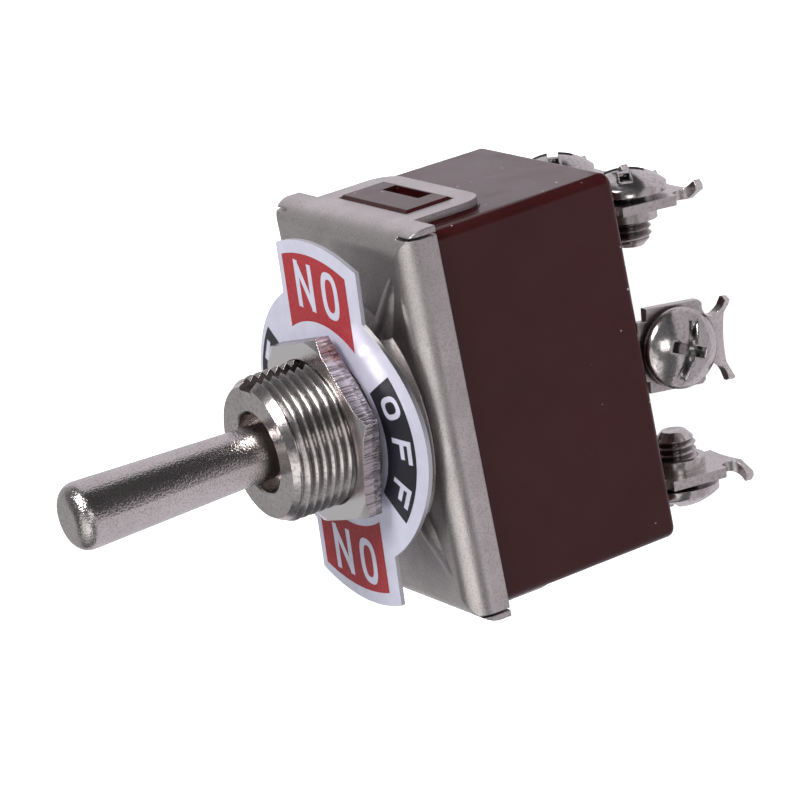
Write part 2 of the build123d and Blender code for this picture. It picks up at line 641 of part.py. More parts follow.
def placed_at_back(shape, side, place):
    """Carry a blade or screw to its terminal and lean it as the real ones are bent."""
    lean = Pos(0, 0, NECK_TURN_Z) * Rot(-LEANS[place], 0, 0) * Pos(0, 0, -NECK_TURN_Z)
    if place == "middle":
        return lean * Pos(side * MIDDLE_FACE_X, 0) * Rot(0, 0, side * 90) * shape
    end = ENDS[place]
    turned = shape if end < 0 else Rot(0, 0, 180) * shape
    face = end * END_FACE_Y
    lean = Pos(0, face, NECK_TURN_Z) * Rot(-LEANS[place], 0, 0) * Pos(0, -face, -NECK_TURN_Z)
    return lean * Pos(side * END_TERMINAL_X, face) * turned


def end_terminal(side, place):
    """End terminal: a foot on the housing floor, a neck through it and the blade outside."""
    end = ENDS[place]
    x = side * END_TERMINAL_X
    foot = block(
        x - NECK_WIDTH / 2, x + NECK_WIDTH / 2,
        CONTACT_REACH - CONTACT_RADIUS - CONTACT_CHAMFER, END_FACE_Y,
        FLOOR_TOP, FOOT_TOP,
    )
    if end < 0:
        foot = mirror(foot, about=Plane.XZ)
    neck = end_neck(side, end, NECK_TURN_Z, FLOOR_TOP)
    return foot + neck + placed_at_back(blade(), side, place)


def middle_terminal(side):
    """Middle terminal, whose foot carries the round-edged post that the rocker tilts on."""
    near = POLE_SPACING / 2 - ROCKER_WIDTH / 2
    far = POLE_SPACING / 2 + ROCKER_WIDTH / 2
    half = TERMINAL_SHEET / 2
    foot = block(near, MIDDLE_FACE_X, -NECK_WIDTH / 2, NECK_WIDTH / 2, FLOOR_TOP, FOOT_TOP)
    post = block(near, far, -half, half, FOOT_TOP, ROCKER_HINGE_Z)
    edge = Pos((near + far) / 2, 0, ROCKER_HINGE_Z) * Rot(0, 90, 0) * Cylinder(half, far - near)
    inner = foot + post + edge
    if side < 0:
        inner = mirror(inner, about=Plane.YZ)
    neck = middle_neck(side, NECK_TURN_Z, FLOOR_TOP)
    return inner + neck + placed_at_back(blade(), side, "middle")


def placed_screw(side, place):
    """Terminal screw in its collar, a little short of clamping."""
    upright = Pos(0, -HEAD_GAP, SCREW_Z) * Rot(90, 0, 0) * terminal_screw(DRIVE_TURNS[place])
    return placed_at_back(upright, side, place)


def all_pieces():
    """Every piece of the switch by name."""
    pieces = {
        "bushing": bushing(),
        "toggle_lever": toggle_lever(),
        "panel_nut": panel_nut(),
        "legend_plate": legend_plate(),
        "cover_plate": cover_plate(),
        "insulator_sheet": insulator_sheet(),
        "housing": housing(),
        "lever_carrier": lever_carrier(),
    }
    for hand, side in SIDES.items():
        pieces[f"plunger_{hand}"] = plunger(side)
        pieces[f"plunger_spring_{hand}"] = plunger_spring(side)
        pieces[f"rocker_contact_{hand}"] = rocker_contact(side)
        pieces[f"terminal_{hand}_middle"] = middle_terminal(side)
        for place, end in ENDS.items():
            pieces[f"moving_contact_{hand}_{place}"] = moving_contact(side, end)
            pieces[f"fixed_contact_{hand}_{place}"] = fixed_contact(side, end)
            pieces[f"terminal_{hand}_{place}"] = end_terminal(side, place)
        for place in LEANS:
            pieces[f"screw_{hand}_{place}"] = placed_screw(side, place)
    return pieces


os.makedirs("parts", exist_ok=True)
for name, piece in all_pieces().items():
    export_step(piece, f"parts/{name}.step")
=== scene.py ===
import json
import math

import bmesh
import bpy
from mathutils import Matrix, Vector
from mathutils.bvhtree import BVHTree


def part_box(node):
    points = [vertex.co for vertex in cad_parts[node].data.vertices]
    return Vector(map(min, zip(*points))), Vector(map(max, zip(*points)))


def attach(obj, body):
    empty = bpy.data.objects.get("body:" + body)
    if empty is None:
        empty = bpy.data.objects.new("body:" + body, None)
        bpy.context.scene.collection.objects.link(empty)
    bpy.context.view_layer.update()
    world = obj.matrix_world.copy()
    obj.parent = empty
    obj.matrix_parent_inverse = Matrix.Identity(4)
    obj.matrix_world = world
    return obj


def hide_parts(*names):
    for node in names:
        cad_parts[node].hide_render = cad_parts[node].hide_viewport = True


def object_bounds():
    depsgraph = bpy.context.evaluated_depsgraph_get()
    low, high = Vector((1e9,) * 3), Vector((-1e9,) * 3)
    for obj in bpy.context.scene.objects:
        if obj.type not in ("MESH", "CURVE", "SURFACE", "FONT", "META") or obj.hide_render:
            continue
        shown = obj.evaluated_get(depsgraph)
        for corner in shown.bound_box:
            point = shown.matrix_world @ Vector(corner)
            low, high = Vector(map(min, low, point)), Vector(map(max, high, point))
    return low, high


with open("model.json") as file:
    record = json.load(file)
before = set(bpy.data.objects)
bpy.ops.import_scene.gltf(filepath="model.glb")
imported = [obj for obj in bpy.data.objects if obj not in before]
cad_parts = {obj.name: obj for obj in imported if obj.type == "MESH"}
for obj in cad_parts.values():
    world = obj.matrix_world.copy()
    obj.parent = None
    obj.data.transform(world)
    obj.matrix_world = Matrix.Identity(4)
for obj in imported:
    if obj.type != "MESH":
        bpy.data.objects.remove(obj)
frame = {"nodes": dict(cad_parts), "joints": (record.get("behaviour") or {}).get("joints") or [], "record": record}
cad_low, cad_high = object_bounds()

# Dressing of a two-pole toggle switch: camera, light, materials, threads and printed legends.
# Lengths are in metres, and MM turns millimetres into metres.
MM = 0.001

# Camera, fitted to the photograph
CAMERA_PLACE = (0.295870, 0.0978696, 0.1458069)
CAMERA_TURN_DEG = (-34.75416, 57.98047, -21.02323)
CAMERA_LENS = 195.26
CAMERA_SENSOR = 36
CAMERA_CLIP = 10 * MM

# Meshes made here: angle from which an edge stays sharp, and distance within which points are joined
SHARP_ANGLE_DEG = 32
WELD = 0.0005 * MM

# Profile of every thread
ROWS_PER_PITCH = 8
FLANK_STEEPNESS = 1.2
CREST_FLAT = 0.1

# Bushing: its thread, chamfers, keyway, mouth, ball seat and staked end
THREAD_RADIUS = 6.0 * MM
THREAD_DEPTH = 0.42 * MM
THREAD_PITCH = 0.75 * MM
THREAD_COLUMNS = 140
BUSHING_TOP = 8.2 * MM
CROWN_LENGTH = 0.9 * MM
CROWN_DEPTH = 0.6 * MM
KEYWAY_HALF = 0.95 * MM
KEYWAY_FLOOR = 5.1 * MM
KEYWAY_COLUMNS = 5
MOUTH_RADIUS = 3.35 * MM
MOUTH_DEPTH = 0.7 * MM
MOUTH_EDGE = 0.12 * MM
THROAT_RADIUS = 2.85 * MM
BALL_SEAT_RADIUS = 3.9 * MM
BALL_SEAT_STEPS = 8
PIVOT_Z = 3.3 * MM
SPIGOT_RADIUS = 5.2 * MM
STAKE_RADIUS = 5.8 * MM
COVER_SHEET = 0.6 * MM
STAKE_END = -2 * COVER_SHEET

# Terminal screws: thread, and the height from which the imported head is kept
SCREW_RADIUS = 1.75 * MM
SCREW_THREAD_DEPTH = 0.34 * MM
SCREW_PITCH = 0.58 * MM
SCREW_COLUMNS = 40
SCREW_LENGTH = 4.0 * MM
SCREW_POINT = 0.4 * MM
SCREW_HEAD_LIFT = 0.45 * MM
SCREW_HEAD_CUT = 0.9 * SCREW_HEAD_LIFT

# Legend print, in the legend plate's own plan
LEGEND_TURN_DEG = -6.4
PRINT_CENTRE = (-0.45 * MM, -0.1 * MM)
FIELD_HALF_WIDTH = 4.6 * MM
FIELD_INNER_RADIUS = 8.55 * MM
FIELD_OUTER_RADIUS = 14.2 * MM
FIELD_GRID = (24, 10)
BAND_INNER_RADIUS = 7.0 * MM
BAND_OUTER_RADIUS = 10.3 * MM
BAND_HALF_ANGLE = 37.0
BAND_SHIFT = 0.35 * MM
BAND_GRID = (36, 8)
PRINT_LIFT = 0.012 * MM
LETTER_LIFT = 0.022 * MM
STROKE_LIFT = 0.003 * MM

# Letters of the red fields, O and N
STROKE = 0.6 * MM
LETTER_FOOT = 9.4 * MM
LETTER_HEIGHT = 4.0 * MM
N_LEFT = -2.65 * MM
N_RIGHT = -0.70 * MM
O_MIDDLE = 2.05 * MM
O_HALF_WIDTH = 1.2 * MM

# Letters of the black bands, one O and two F
SMALL_STROKE = 0.45 * MM
SMALL_LETTER_RADIUS = 8.85 * MM
SMALL_HALF_HEIGHT = 1.05 * MM
SMALL_O_ANGLE = 23.8
SMALL_O_HALF_WIDTH = 0.95 * MM
F_ANGLES = (1.0, -24.0)
F_STEM = -0.7 * MM
F_TOP_ARM = 1.05 * MM
F_MIDDLE_ARM = 0.75 * MM

# Faces along a stroke and round an oval, and how square the oval is
STROKE_STEPS = 8
OVAL_STEPS = 40
OVAL_POWER = 0.75

# Floor, wall round it and even surroundings
FLOOR_HALF = 2000 * MM
FLOOR_GLOW = 0.9
BACKDROP_RADIUS = 1950 * MM
BACKDROP_HEIGHT = 1500 * MM
BACKDROP_COLUMNS = 64
SURROUNDINGS_COLOUR = (0.9, 0.92, 1.0)
SURROUNDINGS_STRENGTH = 0.14

# Cards for reflections: name, height above the floor, x from and to, y from and to, grey
FAR = 1900 * MM
CARD_TINT = (1, 0.96, 1.04)
REFLECTION_CARDS = (
    ("card_wide", 0.3 * MM, -FAR, FAR, -FAR, FAR, 0.72),
    ("card_front", 0.5 * MM, 11 * MM, 75 * MM, -60 * MM, 20 * MM, 0.5),
    ("card_dark_far", 0.5 * MM, 75 * MM, FAR, -15 * MM, FAR, 0.015),
    ("card_dark_near", 0.5 * MM, -8 * MM, 75 * MM, 20 * MM, FAR, 0.015),
)

# Soft lights: name, direction from the origin, distance, width and height, power in watts
SOFT_LIGHTS = (
    ("left_softbox", (-0.86, -0.285, 0.425), 0.45, (0.5, 0.35), 0.18),
    ("back_softbox", (-0.84, 0.45, 0.22), 0.45, (0.3, 0.25), 0.07),
    ("overhead_softbox", (0.4, -0.285, 0.84), 0.5, (0.45, 0.45), 0.42),
    ("top_softbox", (0.2, 0.75, 0.65), 0.5, (0.2, 0.2), 2.45),
    ("low_side_softbox", (0.12, -0.72, 0.67), 0.5, (0.45, 0.45), 0.25),
    ("front_fill", (0.6, -0.5, 0.6), 0.6, (0.3, 0.3), 0.2),
    ("front_softbox", (0.9, 0.12, 0.28), 0.45, (0.13, 0.13), 0.16),
)

# Scales of noise below are in cells per metre

# Plated metals, all of one colour: roughness, scale and depth of the grain, rounding of the edges, share of
# painted shade in the hollows
NICKEL = (0.62, 0.575, 0.56)
PLATED_FINISHES = {
    "nickel_plate": (0.32, 7000, 0.02 * MM, 0.15 * MM, 0),
    "bushing_nickel": (0.2, 3500, 0.006 * MM, 0.06 * MM, 0.5),
    "lever_nickel": (0.2, 6000, 0.04 * MM, 0.1 * MM, 0),
    "terminal_nickel": (0.26, 3500, 0.006 * MM, 0.12 * MM, 0),
    "screw_nickel": (0.2, 3500, 0.006 * MM, 0.06 * MM, 0.9),
}
PLATE_CLOUDS = 260
BRUSH_SCALE = 900
BRUSH_STRETCH = (1, 6, 1)
BRUSH_DEPTH = 0.004 * MM
# Painted shade in the hollows: how far the occlusion that finds them reaches, and its samples
HOLLOW_SHADE_REACH = 1.8 * MM
HOLLOW_SHADE_SAMPLES = 8

# Nut: faces, sides painted darker as shade, with upright lines, and the two heights between which the torn zone
# fades out
NUT_LIT_FACE = (0.88, 0.84, 0.83)
NUT_SHADED_SIDE = (0.46, 0.42, 0.42)
NUT_ROUGHNESS = 0.24
NUT_EDGE = 0.08 * MM
LINE_SCALE = 5200
LINE_STRETCH = (1, 1, 0.07)
LINE_DEPTH = 0.02 * MM
TEAR_SCALE = 4200
TEAR_STRETCH = (1, 1, 0.35)
TEAR_DEPTH = 0.05 * MM
TEAR_LOW = 1.85 * MM
TEAR_HIGH = 2.1 * MM
NUT_WAVE_SCALE = 2600
NUT_WAVE_DEPTH = 0.006 * MM

# Brown moulding: its two browns, its gloss, its pale specks and the waves of its surface
RED_BROWN = (0.032, 0.0044, 0.0048)
DEEP_BROWN = (0.026, 0.0034, 0.0037)
BROWN_CLOUDS = 120
MOULDING_ROUGHNESS = 0.2
MOULDING_SPECULAR = 0.32
MOULDING_EDGE = 0.12 * MM
GLOSS_CLOUDS = 420
SPECK_COLOUR = (0.45, 0.36, 0.36)
SPECK_SCALE = 900
SPECK_HEIGHT = 0.01 * MM
MOULDING_WAVE_SCALE = 500
MOULDING_WAVE_DEPTH = 0.006 * MM

# Legend plate: lacquer of its front and bare metal
LACQUER = (0.83, 0.82, 0.97)
LACQUER_METALLIC = 0.35
LACQUER_ROUGHNESS = 0.32
LACQUER_CLOUDS = 700
LACQUER_GRAIN = 3000
BARE_ALUMINIUM = (0.55, 0.55, 0.57)

# Plain finishes: colour, metallic share, roughness, scale of the grain
PLAIN_EDGE = 0.06 * MM
PLAIN_GRAIN_DEPTH = 0.004 * MM
PLAIN_FINISHES = {
    "fibre_sheet": ((0.25, 0.07, 0.05), 0.0, 0.7, 1500),
    "carrier_moulding": ((0.02, 0.02, 0.02), 0.0, 0.5, 1500),
    "plunger_moulding": ((0.72, 0.70, 0.62), 0.0, 0.5, 1500),
    "spring_steel": ((0.45, 0.45, 0.45), 1.0, 0.3, 1500),
    "contact_brass": ((0.65, 0.42, 0.16), 1.0, 0.3, 1500),
    "contact_silver": ((0.8, 0.79, 0.78), 1.0, 0.3, 1500),
    "red_print": ((0.42, 0.030, 0.038), 0.0, 0.5, 3500),
    "black_print": ((0.016, 0.016, 0.022), 0.0, 0.4, 3500),
}


def shader(name, colour, metallic, roughness):
    """New material. Returns it with its node tree and its main shader."""
    material = bpy.data.materials.new(name)
    material.use_nodes = True
    tree = material.node_tree
    main = tree.nodes["Principled BSDF"]
    main.inputs["Base Color"].default_value = (*colour, 1)
    main.inputs["Metallic"].default_value = metallic
    main.inputs["Roughness"].default_value = roughness
    return material, tree, main


def coordinates(tree, output):
    """Output of the object's own coordinates, such as Object or Normal."""
    return tree.nodes.new("ShaderNodeTexCoord").outputs[output]


def along_z(tree, output):
    """Z share of one of the object's own coordinates."""
    parts = tree.nodes.new("ShaderNodeSeparateXYZ")
    tree.links.new(coordinates(tree, output), parts.inputs["Vector"])
    return parts.outputs["Z"]


def noise(tree, scale, detail=2.0, stretch=(1, 1, 1)):
    """Noise in the object's own space. The scale is in cells per metre."""
    squeeze = tree.nodes.new("ShaderNodeMapping")
    squeeze.inputs["Scale"].default_value = stretch
    texture = tree.nodes.new("ShaderNodeTexNoise")
    texture.inputs["Scale"].default_value = scale
    texture.inputs["Detail"].default_value = detail
    tree.links.new(coordinates(tree, "Object"), squeeze.inputs["Vector"])
    tree.links.new(squeeze.outputs["Vector"], texture.inputs["Vector"])
    return texture.outputs["Fac"]


def remap(tree, value, low, high, to_low, to_high):
    """Value carried from one range to another and kept inside it."""
    node = tree.nodes.new("ShaderNodeMapRange")
    node.inputs["From Min"].default_value = low
    node.inputs["From Max"].default_value = high
    node.inputs["To Min"].default_value = to_low
    node.inputs["To Max"].default_value = to_high
    tree.links.new(value, node.inputs["Value"])
    return node.outputs["Result"]


def product(tree, first, second):
    """First output times the second."""
    node = tree.nodes.new("ShaderNodeMath")
    node.operation = "MULTIPLY"
    tree.links.new(first, node.inputs[0])
    tree.links.new(second, node.inputs[1])
    return node.outputs["Value"]


def without_sign(tree, value):
    """Value without its sign."""
    node = tree.nodes.new("ShaderNodeMath")
    node.operation = "ABSOLUTE"
    tree.links.new(value, node.inputs[0])
    return node.outputs["Value"]


def darker(colour, share):
    """Colour brought down to a share of its light."""
    return tuple(share * part for part in colour)


def blend_colours(tree, factor, first, second):
    """Colour between two, each of which is a colour or a node's output."""
    node = tree.nodes.new("ShaderNodeMix")
    node.data_type = "RGBA"
    tree.links.new(factor, node.inputs["Factor"])
    for socket, colour in ((node.inputs["A"], first), (node.inputs["B"], second)):
        if isinstance(colour, tuple):
            socket.default_value = (*colour, 1)
        else:
            tree.links.new(colour, socket)
    return node.outputs["Result"]


def uneven_gloss(tree, main, clouds, low, high):
    """Let the roughness follow a noise between two values."""
    tree.links.new(remap(tree, clouds, 0.3, 0.7, low, high), main.inputs["Roughness"])


def soft_edges(tree, radius):
    """Normal that rounds every sharp edge a little."""
    node = tree.nodes.new("ShaderNodeBevel")
    node.samples = 4
    node.inputs["Radius"].default_value = radius
    return node.outputs["Normal"]


def bump(tree, height, depth, strength, normal):
    """Normal disturbed by a height. The depth is in metres."""
    node = tree.nodes.new("ShaderNodeBump")
    node.inputs["Distance"].default_value = depth
    node.inputs["Strength"].default_value = strength
    tree.links.new(height, node.inputs["Height"])
    tree.links.new(normal, node.inputs["Normal"])
    return node.outputs["Normal"]


def hollows(tree, reach):
    """1 in narrow recesses and thread roots, 0 on open surfaces, from ambient occlusion: it sets where shade is
    painted.
    """
    node = tree.nodes.new("ShaderNodeAmbientOcclusion")
    node.samples = HOLLOW_SHADE_SAMPLES
    node.only_local = True
    node.inputs["Distance"].default_value = reach
    return remap(tree, node.outputs["AO"], 0.45, 0.9, 1, 0)


def plated_metal(name, roughness, grain_scale, grain_depth, edge, hollow_shade):
    """Nickel plate with uneven gloss, fine grain, softened edges and painted shade that darkens its hollows."""
    material, tree, main = shader(name, NICKEL, 1.0, roughness)
    clouds = noise(tree, PLATE_CLOUDS, 3.0)
    uneven_gloss(tree, main, clouds, roughness * 0.85, roughness * 1.2)
    tint = blend_colours(tree, remap(tree, clouds, 0.35, 0.7, 0, 1), NICKEL, darker(NICKEL, 0.86))
    grain = noise(tree, grain_scale)
    pits = remap(tree, grain, 0.38, 0.5, 0.45, 0)
    tint = blend_colours(tree, pits, tint, darker(NICKEL, 0.55))
    # Painted shade: hollows found by ambient occlusion are darkened towards a fifth of the nickel's colour
    if hollow_shade:
        share = remap(tree, hollows(tree, HOLLOW_SHADE_REACH), 0, 1, 0, hollow_shade)
        tint = blend_colours(tree, share, tint, darker(NICKEL, 0.2))
    tree.links.new(tint, main.inputs["Base Color"])
    brushing = noise(tree, BRUSH_SCALE, 2.0, BRUSH_STRETCH)
    normal = bump(tree, brushing, BRUSH_DEPTH, 0.5, soft_edges(tree, edge))
    normal = bump(tree, grain, grain_depth, 1.0, normal)
    tree.links.new(normal, main.inputs["Normal"])
    return material


def nut_metal():
    """Nut's metal: plain faces, sides painted darker as shade, with fine upright lines and a torn zone towards the
    back.
    """
    material, tree, main = shader("nut_nickel", NUT_LIT_FACE, 1.0, NUT_ROUGHNESS)
    side = remap(tree, without_sign(tree, along_z(tree, "Normal")), 0.15, 0.4, 1, 0)
    lines = remap(tree, noise(tree, LINE_SCALE, 2.0, LINE_STRETCH), 0.4, 0.52, 0.7, 0)
    grains = remap(tree, noise(tree, TEAR_SCALE, 3.0, TEAR_STRETCH), 0.42, 0.6, 0, 0.6)
    zone = remap(tree, along_z(tree, "Object"), TEAR_LOW, TEAR_HIGH, 1, 0)
    side_lines = product(tree, side, lines)
    side_tears = product(tree, side, product(tree, grains, zone))
    dark = darker(NUT_SHADED_SIDE, 0.2)
    # Painted shade: the sides, found by their normal, take a darker copy of the faces' colour
    tint = blend_colours(tree, side, NUT_LIT_FACE, NUT_SHADED_SIDE)
    tint = blend_colours(tree, side_lines, tint, dark)
    tint = blend_colours(tree, side_tears, tint, dark)
    tree.links.new(tint, main.inputs["Base Color"])
    normal = bump(tree, side_lines, -LINE_DEPTH, 1.0, soft_edges(tree, NUT_EDGE))
    normal = bump(tree, side_tears, -TEAR_DEPTH, 1.0, normal)
    normal = bump(tree, noise(tree, NUT_WAVE_SCALE), NUT_WAVE_DEPTH, 0.6, normal)
    tree.links.new(normal, main.inputs["Normal"])
    return material


def pale_specks(tree):
    """1 on small round specks strewn through the object's space, 0 between them."""
    cells = tree.nodes.new("ShaderNodeTexVoronoi")
    cells.inputs["Scale"].default_value = SPECK_SCALE
    tree.links.new(coordinates(tree, "Object"), cells.inputs["Vector"])
    speck = remap(tree, cells.outputs["Distance"], 0.06, 0.1, 1, 0)
    chosen = tree.nodes.new("ShaderNodeSeparateColor")
    tree.links.new(cells.outputs["Color"], chosen.inputs["Color"])
    few = remap(tree, chosen.outputs["Red"], 0.45, 0.9, 0, 1)
    return product(tree, speck, few)


def glossy_moulding():
    """Dark brown moulding with a hard, slightly uneven gloss and pale specks in it."""
    material, tree, main = shader("brown_moulding", RED_BROWN, 0.0, MOULDING_ROUGHNESS)
    main.inputs["Specular IOR Level"].default_value = MOULDING_SPECULAR
    browns = remap(tree, noise(tree, BROWN_CLOUDS), 0.3, 0.7, 0, 1)
    specks = pale_specks(tree)
    base = blend_colours(tree, browns, DEEP_BROWN, RED_BROWN)
    tree.links.new(blend_colours(tree, specks, base, SPECK_COLOUR), main.inputs["Base Color"])
    uneven_gloss(tree, main, noise(tree, GLOSS_CLOUDS, 3.0), 0.14, 0.26)
    waves = noise(tree, MOULDING_WAVE_SCALE)
    normal = bump(tree, waves, MOULDING_WAVE_DEPTH, 0.6, soft_edges(tree, MOULDING_EDGE))
    normal = bump(tree, specks, SPECK_HEIGHT, 0.5, normal)
    tree.links.new(normal, main.inputs["Normal"])
    return material


def silver_sheet():
    """Silver-white lacquer on the front of the legend plate, bare aluminium on its back and edges."""
    material, tree, main = shader("legend_aluminium", LACQUER, LACQUER_METALLIC, LACQUER_ROUGHNESS)
    front = remap(tree, along_z(tree, "Normal"), 0.5, 0.8, 0, 1)
    clouds = noise(tree, LACQUER_CLOUDS, 3.0)
    tint = blend_colours(tree, remap(tree, clouds, 0.35, 0.65, 0, 1), LACQUER, darker(LACQUER, 0.93))
    tree.links.new(blend_colours(tree, front, BARE_ALUMINIUM, tint), main.inputs["Base Color"])
    tree.links.new(remap(tree, front, 0, 1, 1, LACQUER_METALLIC), main.inputs["Metallic"])
    uneven_gloss(tree, main, clouds, 0.28, 0.38)
    grain = noise(tree, LACQUER_GRAIN)
    normal = bump(tree, grain, PLAIN_GRAIN_DEPTH, 0.5, soft_edges(tree, PLAIN_EDGE))
    tree.links.new(normal, main.inputs["Normal"])
    return material


def plain_surface(name, colour, metallic, roughness, grain):
    """Simple finish with a slight unevenness of colour and gloss."""
    material, tree, main = shader(name, colour, metallic, roughness)
    clouds = noise(tree, grain)
    tint = blend_colours(tree, remap(tree, clouds, 0.35, 0.65, 0, 1), colour, darker(colour, 0.88))
    tree.links.new(tint, main.inputs["Base Color"])
    uneven_gloss(tree, main, clouds, roughness * 0.85, roughness * 1.15)
    normal = bump(tree, clouds, PLAIN_GRAIN_DEPTH, 0.5, soft_edges(tree, PLAIN_EDGE))
    tree.links.new(normal, main.inputs["Normal"])
    return material


def glowing_surface(name, colour, roughness, glow_colour, glow):
    """Surface of the studio that shines by itself."""
    material, _, main = shader(name, colour, 0.0, roughness)
    main.inputs["Emission Color"].default_value = (*glow_colour, 1)
    main.inputs["Emission Strength"].default_value = glow
    return material


def make_materials():
    """Materials by name: one for each slot of the record, two for single pieces and two prints."""
    materials = {
        "nut_nickel": nut_metal(),
        "legend_aluminium": silver_sheet(),
        "brown_moulding": glossy_moulding(),
    }
    for name, finish in PLATED_FINISHES.items():
        materials[name] = plated_metal(name, *finish)
    for name, finish in PLAIN_FINISHES.items():
        materials[name] = plain_surface(name, *finish)
    return materials


def add_object(name, bm, material):
    """New object in the scene, made from a mesh in the making and a material."""
    mesh = bpy.data.meshes.new(name)
    bm.to_mesh(mesh)
    bm.free()
    mesh.materials.append(material)
    thing = bpy.data.objects.new(name, mesh)
    bpy.context.scene.collection.objects.link(thing)
    return thing


def new_piece(name, bm, material, body):
    """Piece of the part with smooth faces and sharp steep edges, riding on a body."""
    piece = add_object(name, bm, material)
    piece.data.shade_smooth()
    piece.data.set_sharp_from_angle(angle=math.radians(SHARP_ANGLE_DEG))
    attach(piece, body)
    return piece


def groove(phase):
    """Depth of a thread's groove, from 0 on the crest to 1 in the root."""
    from_root = abs(2 * (phase % 1) - 1)
    return min(1, max(0, FLANK_STEEPNESS * (1 - from_root) - CREST_FLAT))


def thread_rows(bm, columns, low, high, pitch, place):
    """Spiral grid of a thread. place(column, height, phase) gives each vertex."""
    step = pitch / ROWS_PER_PITCH
    row_count = math.ceil((high - low) / step) + ROWS_PER_PITCH
    grid = []
    for column in range(columns):
        climb = pitch * column / columns
        heights = [low - pitch + climb + step * row for row in range(row_count + 1)]
        line = []
        for row, height in enumerate(heights):
            inside = min(high, max(low, height))
            line.append(bm.verts.new(place(column, inside, row / ROWS_PER_PITCH)))
        grid.append(line)
    for column in range(columns):
        last = column == columns - 1
        right = grid[0] if last else grid[column + 1]
        skip = ROWS_PER_PITCH if last else 0
        for row in range(row_count - skip):
            left_pair = (grid[column][row], grid[column][row + 1])
            right_pair = (right[row + skip], right[row + skip + 1])
            bm.faces.new((left_pair[0], right_pair[0], right_pair[1], left_pair[1]))


def ring_rows(bm, columns, rings):
    """Closed rings of vertices joined in order. Each ring is a function of the column."""
    lines = [[bm.verts.new(ring(column)) for column in range(columns)] for ring in rings]
    for lower, upper in zip(lines, lines[1:]):
        for column in range(columns):
            after = (column + 1) % columns
            bm.faces.new((lower[column], lower[after], upper[after], upper[column]))


def round_ring(columns, radius, height):
    """Ring of evenly spaced points round Z, as a function of the column."""
    def point(column):
        turn = 2 * math.pi * column / columns
        return (radius * math.cos(turn), radius * math.sin(turn), height)
    return point


def keyway_share(column):
    """Place of a column of the keyway's floor across it, from -1 to 1."""
    return 2 * column / (KEYWAY_COLUMNS - 1) - 1


def bushing_angle(column):
    """Angle of a column from +Y. The first few columns lie in the keyway."""
    edge = math.asin(KEYWAY_HALF / THREAD_RADIUS)
    if column < KEYWAY_COLUMNS:
        return edge * keyway_share(column)
    share = (column - KEYWAY_COLUMNS) / (THREAD_COLUMNS - KEYWAY_COLUMNS - 1)
    return edge + share * (2 * math.pi - 2 * edge)


def bushing_point(column, radius, height):
    """Point of the bushing's outside, with the keyway cut into it."""
    if column < KEYWAY_COLUMNS:
        x = KEYWAY_HALF * keyway_share(column)
        return (x, min(KEYWAY_FLOOR, math.sqrt(radius**2 - x**2)), height)
    if column in (KEYWAY_COLUMNS, THREAD_COLUMNS - 1):
        x = KEYWAY_HALF if column == KEYWAY_COLUMNS else -KEYWAY_HALF
        return (x, math.sqrt(radius**2 - x**2), height)
    angle = bushing_angle(column)
    return (radius * math.sin(angle), radius * math.cos(angle), height)


def bushing_thread_point(column, height, phase):
    """Point of the bushing's thread, with a chamfer at both of its ends."""
    profile = THREAD_RADIUS - THREAD_DEPTH * groove(phase)
    crown = THREAD_RADIUS - CROWN_DEPTH * max(0, 1 - (BUSHING_TOP - height) / CROWN_LENGTH)
    foot = THREAD_RADIUS - THREAD_DEPTH + height
    return bushing_point(column, min(profile, crown, foot), height)


def outer_ring(radius, height):
    """Ring of the bushing's outside, with the keyway in it, as a function of the column."""
    return lambda column: bushing_point(column, radius, height)


def inner_ring(radius, height):
    """Plain ring of the bushing at one radius and height, as a function of the column."""
    def point(column):
        angle = bushing_angle(column)
        return (radius * math.sin(angle), radius * math.cos(angle), height)
    return point


def ball_seat_rings(throat_rise):
    """Rings of the ball seat, from below the throat to the ball's widest place."""
    start = math.acos(throat_rise / BALL_SEAT_RADIUS)
    rings = []
    for step in range(1, BALL_SEAT_STEPS + 1):
        turn = start + (math.pi / 2 - start) * step / BALL_SEAT_STEPS
        radius = BALL_SEAT_RADIUS * math.sin(turn)
        rings.append(inner_ring(radius, PIVOT_Z + BALL_SEAT_RADIUS * math.cos(turn)))
    return rings


def make_bushing(material):
    """Threaded bushing with its keyway, mouth, ball seat and staked end."""
    bm = bmesh.new()
    thread_rows(bm, THREAD_COLUMNS, 0, BUSHING_TOP, THREAD_PITCH, bushing_thread_point)
    throat_rise = math.sqrt(BALL_SEAT_RADIUS**2 - THROAT_RADIUS**2)
    front = [
        outer_ring(THREAD_RADIUS - CROWN_DEPTH, BUSHING_TOP),
        inner_ring(MOUTH_RADIUS + MOUTH_EDGE, BUSHING_TOP),
        inner_ring(MOUTH_RADIUS, BUSHING_TOP - MOUTH_EDGE),
        inner_ring(MOUTH_RADIUS, BUSHING_TOP - MOUTH_DEPTH),
        inner_ring(THROAT_RADIUS, PIVOT_Z + throat_rise),
    ]
    back = [
        inner_ring(BALL_SEAT_RADIUS, STAKE_END),
        inner_ring(STAKE_RADIUS, STAKE_END),
        inner_ring(STAKE_RADIUS, -COVER_SHEET),
        inner_ring(SPIGOT_RADIUS, -COVER_SHEET),
        inner_ring(SPIGOT_RADIUS, 0),
        outer_ring(THREAD_RADIUS - THREAD_DEPTH, 0),
    ]
    ring_rows(bm, THREAD_COLUMNS, front + ball_seat_rings(throat_rise) + back)
    bmesh.ops.remove_doubles(bm, verts=bm.verts, dist=WELD)
    bmesh.ops.recalc_face_normals(bm, faces=bm.faces)
    piece = new_piece("bushing_threaded", bm, material, "base")
    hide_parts("bushing")


def screw_point(column, height, phase):
    """Point of a screw's thread along Z, tapering at its far end."""
    profile = SCREW_RADIUS - SCREW_THREAD_DEPTH * groove(phase)
    past_end = height + SCREW_LENGTH
    radius = min(profile, SCREW_RADIUS - SCREW_THREAD_DEPTH - SCREW_POINT + past_end)
    return round_ring(SCREW_COLUMNS, radius, height)(column)


